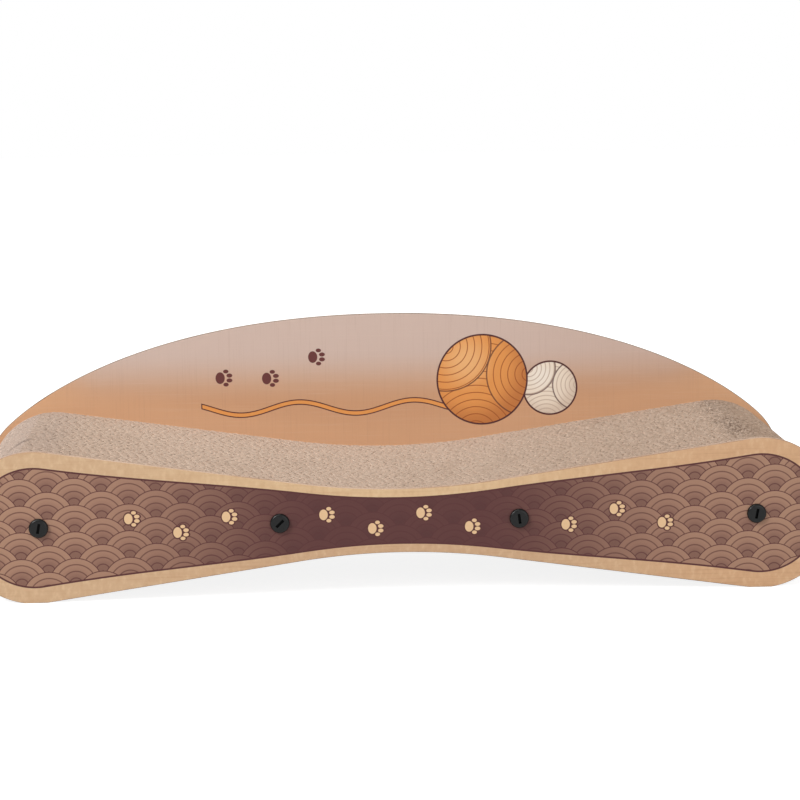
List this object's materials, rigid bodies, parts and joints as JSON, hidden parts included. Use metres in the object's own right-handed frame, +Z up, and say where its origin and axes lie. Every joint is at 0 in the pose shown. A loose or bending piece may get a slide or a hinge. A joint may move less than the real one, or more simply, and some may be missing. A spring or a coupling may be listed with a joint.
{
  "type": "cardboard cat scratcher",
  "caption": "Bone-shaped cat scratcher lounge: a core of corrugated cardboard sheets on edge between two printed wood panels held by plastic screws, the back panel with a tall arch.",
  "frame": {"origin": "on the floor, under the middle of the object's box", "axes": "+X along the length to the right, +Y from the front panel to the arched back panel, +Z up"},
  "size_m": [0.654, 0.237, 0.1854],
  "materials": {
    "front_panel": "printed board, satin",
    "back_panel": "printed board, satin",
    "corrugated": "raw, matt",
    "screw": "semi-gloss black"
  },
  "bodies": {
    "root": {"front_panel": "front_panel", "back_panel": "back_panel", "front_bored_sheet_1": "corrugated", "front_bored_sheet_2": "corrugated", "front_bored_sheet_3": "corrugated", "front_bored_sheet_4": "corrugated", "front_bored_sheet_5": "corrugated", "front_bored_sheet_6": "corrugated", "plain_sheet_01": "corrugated", "plain_sheet_02": "corrugated", "plain_sheet_03": "corrugated", "plain_sheet_04": "corrugated", "plain_sheet_05": "corrugated", "plain_sheet_06": "corrugated", "plain_sheet_07": "corrugated", "plain_sheet_08": "corrugated", "plain_sheet_09": "corrugated", "plain_sheet_10": "corrugated", "plain_sheet_11": "corrugated", "plain_sheet_12": "corrugated", "plain_sheet_13": "corrugated", "plain_sheet_14": "corrugated", "plain_sheet_15": "corrugated", "plain_sheet_16": "corrugated", "plain_sheet_17": "corrugated", "plain_sheet_18": "corrugated", "plain_sheet_19": "corrugated", "plain_sheet_20": "corrugated", "plain_sheet_21": "corrugated", "plain_sheet_22": "corrugated", "plain_sheet_23": "corrugated", "plain_sheet_24": "corrugated", "plain_sheet_25": "corrugated", "plain_sheet_26": "corrugated", "plain_sheet_27": "corrugated", "plain_sheet_28": "corrugated", "plain_sheet_29": "corrugated", "plain_sheet_30": "corrugated", "plain_sheet_31": "corrugated", "plain_sheet_32": "corrugated", "plain_sheet_33": "corrugated", "back_bored_sheet_6": "corrugated", "back_bored_sheet_5": "corrugated", "back_bored_sheet_4": "corrugated", "back_bored_sheet_3": "corrugated", "back_bored_sheet_2": "corrugated", "back_bored_sheet_1": "corrugated", "front_screw_1": "screw", "front_screw_2": "screw", "front_screw_3": "screw", "front_screw_4": "screw", "back_screw_1": "screw", "back_screw_2": "screw", "back_screw_3": "screw", "back_screw_4": "screw"}
  },
  "joints": []
}
